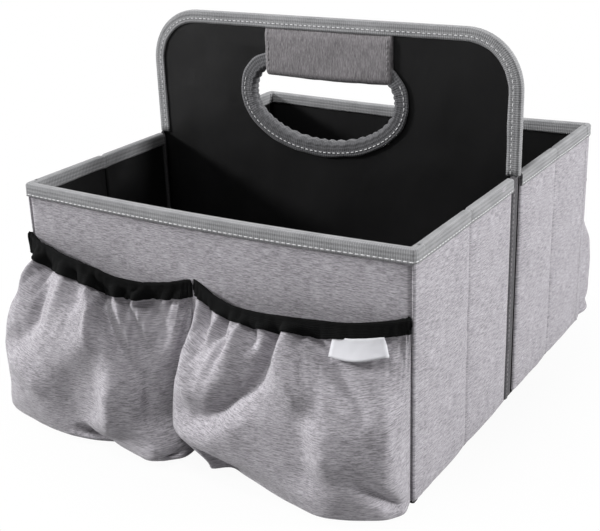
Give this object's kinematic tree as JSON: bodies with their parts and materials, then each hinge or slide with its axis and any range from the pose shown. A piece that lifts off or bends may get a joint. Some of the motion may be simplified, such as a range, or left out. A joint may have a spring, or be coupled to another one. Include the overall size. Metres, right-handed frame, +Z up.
{
  "type": "storage box",
  "caption": "Open fabric storage box with a tall central divider, hand hole and grip sleeve, gathered outside pockets, and stiffened walls that fold flat against the divider.",
  "frame": {"origin": "on the floor under the middle of the box", "axes": "+Z up, -Y towards the front panel that carries the label, +X to the right of that panel"},
  "size_m": [0.2857, 0.3844, 0.248],
  "materials": {
    "outer_cloth": "heather grey woven cloth, matt",
    "lining_cloth": "black smooth lining cloth, slight sheen",
    "base_cloth": "black woven cloth, matt",
    "binding_tape": "mid grey ribbed tape, stitched",
    "elastic": "black ribbed elastic",
    "label_cloth": "white woven label, bare",
    "stiffener": "plain board, hidden inside the walls"
  },
  "bodies": {
    "spine": {"divider_board": "stiffener", "divider_lining": "lining_cloth", "divider_tape": "binding_tape", "handle_hole_tape": "binding_tape", "handle_sleeve": "outer_cloth", "front_base_cloth": "base_cloth", "back_base_cloth": "base_cloth"},
    "front_right_inner_wall": {"front_right_inner_cover": "outer_cloth", "front_right_inner_board": "stiffener", "front_right_inner_lining": "lining_cloth", "front_right_inner_rim_tape": "binding_tape"},
    "front_right_outer_wall": {"front_right_outer_cover": "outer_cloth", "front_right_outer_board": "stiffener", "front_right_outer_lining": "lining_cloth", "front_right_outer_rim_tape": "binding_tape"},
    "front_left_inner_wall": {"front_left_inner_cover": "outer_cloth", "front_left_inner_board": "stiffener", "front_left_inner_lining": "lining_cloth", "front_left_inner_rim_tape": "binding_tape"},
    "front_left_outer_wall": {"front_left_outer_cover": "outer_cloth", "front_left_outer_board": "stiffener", "front_left_outer_lining": "lining_cloth", "front_left_outer_rim_tape": "binding_tape"},
    "front_panel": {"front_panel_cover": "outer_cloth", "front_panel_board": "stiffener", "front_panel_lining": "lining_cloth", "front_panel_rim_tape": "binding_tape", "front_pocket_left": "outer_cloth", "front_pocket_elastic_left": "elastic", "front_pocket_right": "outer_cloth", "front_pocket_elastic_right": "elastic", "label_tag": "label_cloth"},
    "front_base_rear": {"front_base_board_rear": "lining_cloth"},
    "front_base_fore": {"front_base_board_fore": "lining_cloth"},
    "back_right_inner_wall": {"back_right_inner_cover": "outer_cloth", "back_right_inner_board": "stiffener", "back_right_inner_lining": "lining_cloth", "back_right_inner_rim_tape": "binding_tape"},
    "back_right_outer_wall": {"back_right_outer_cover": "outer_cloth", "back_right_outer_board": "stiffener", "back_right_outer_lining": "lining_cloth", "back_right_outer_rim_tape": "binding_tape"},
    "back_left_inner_wall": {"back_left_inner_cover": "outer_cloth", "back_left_inner_board": "stiffener", "back_left_inner_lining": "lining_cloth", "back_left_inner_rim_tape": "binding_tape"},
    "back_left_outer_wall": {"back_left_outer_cover": "outer_cloth", "back_left_outer_board": "stiffener", "back_left_outer_lining": "lining_cloth", "back_left_outer_rim_tape": "binding_tape"},
    "back_panel": {"back_panel_cover": "outer_cloth", "back_panel_board": "stiffener", "back_panel_lining": "lining_cloth", "back_panel_rim_tape": "binding_tape", "back_pocket_left": "outer_cloth", "back_pocket_elastic_left": "elastic", "back_pocket_right": "outer_cloth", "back_pocket_elastic_right": "elastic"},
    "back_base_rear": {"back_base_board_rear": "lining_cloth"},
    "back_base_fore": {"back_base_board_fore": "lining_cloth"}
  },
  "joints": [
    {"name": "front_fold", "type": "hinge", "parent": "spine", "child": "front_right_inner_wall", "pos_m": [0.1346, -0.00715, 0.078], "axis": [0, 0, -1], "range_deg": [0, 84], "deforming": ["front_base_cloth"]},
    {"name": "front_right_crease", "type": "hinge", "parent": "front_right_inner_wall", "child": "front_right_outer_wall", "pos_m": [0.14, -0.0735, 0.078], "axis": [0, 0, 1], "range_deg": [0, 168]},
    {"name": "front_panel_corner", "type": "hinge", "parent": "front_right_outer_wall", "child": "front_panel", "pos_m": [0.1346, -0.13985, 0.078], "axis": [0, 0, -1], "range_deg": [0, 84]},
    {"name": "front_left_fold", "type": "hinge", "parent": "spine", "child": "front_left_inner_wall", "pos_m": [-0.1346, -0.00715, 0.078], "axis": [0, 0, 1], "range_deg": [0, 84]},
    {"name": "front_left_crease", "type": "hinge", "parent": "front_left_inner_wall", "child": "front_left_outer_wall", "pos_m": [-0.14, -0.0735, 0.078], "axis": [0, 0, -1], "range_deg": [0, 168]},
    {"name": "front_base_rear_hinge", "type": "hinge", "parent": "spine", "child": "front_base_rear", "pos_m": [0, -0.00355, 0.0045], "axis": [-1, 0, 0], "range_deg": [0, 84]},
    {"name": "front_base_fore_hinge", "type": "hinge", "parent": "front_panel", "child": "front_base_fore", "pos_m": [0, -0.14315, 0.0045], "axis": [1, 0, 0], "range_deg": [0, 84]},
    {"name": "back_fold", "type": "hinge", "parent": "spine", "child": "back_right_inner_wall", "pos_m": [0.1346, 0.00715, 0.078], "axis": [0, 0, 1], "range_deg": [0, 84], "deforming": ["back_base_cloth"]},
    {"name": "back_right_crease", "type": "hinge", "parent": "back_right_inner_wall", "child": "back_right_outer_wall", "pos_m": [0.14, 0.0735, 0.078], "axis": [0, 0, -1], "range_deg": [0, 168]},
    {"name": "back_panel_corner", "type": "hinge", "parent": "back_right_outer_wall", "child": "back_panel", "pos_m": [0.1346, 0.13985, 0.078], "axis": [0, 0, 1], "range_deg": [0, 84]},
    {"name": "back_left_fold", "type": "hinge", "parent": "spine", "child": "back_left_inner_wall", "pos_m": [-0.1346, 0.00715, 0.078], "axis": [0, 0, -1], "range_deg": [0, 84]},
    {"name": "back_left_crease", "type": "hinge", "parent": "back_left_inner_wall", "child": "back_left_outer_wall", "pos_m": [-0.14, 0.0735, 0.078], "axis": [0, 0, 1], "range_deg": [0, 168]},
    {"name": "back_base_rear_hinge", "type": "hinge", "parent": "spine", "child": "back_base_rear", "pos_m": [0, 0.00355, 0.0045], "axis": [1, 0, 0], "range_deg": [0, 84]},
    {"name": "back_base_fore_hinge", "type": "hinge", "parent": "back_panel", "child": "back_base_fore", "pos_m": [0, 0.14315, 0.0045], "axis": [-1, 0, 0], "range_deg": [0, 84]}
  ],
  "couplings": [
    {"joint": "front_right_crease", "follows": "front_fold", "ratio": 2},
    {"joint": "front_panel_corner", "follows": "front_fold", "ratio": 1},
    {"joint": "front_left_fold", "follows": "front_fold", "ratio": 1},
    {"joint": "front_left_crease", "follows": "front_fold", "ratio": 2},
    {"joint": "front_base_rear_hinge", "follows": "front_fold", "ratio": 1},
    {"joint": "front_base_fore_hinge", "follows": "front_fold", "ratio": 1},
    {"joint": "back_right_crease", "follows": "back_fold", "ratio": 2},
    {"joint": "back_panel_corner", "follows": "back_fold", "ratio": 1},
    {"joint": "back_left_fold", "follows": "back_fold", "ratio": 1},
    {"joint": "back_left_crease", "follows": "back_fold", "ratio": 2},
    {"joint": "back_base_rear_hinge", "follows": "back_fold", "ratio": 1},
    {"joint": "back_base_fore_hinge", "follows": "back_fold", "ratio": 1}
  ]
}
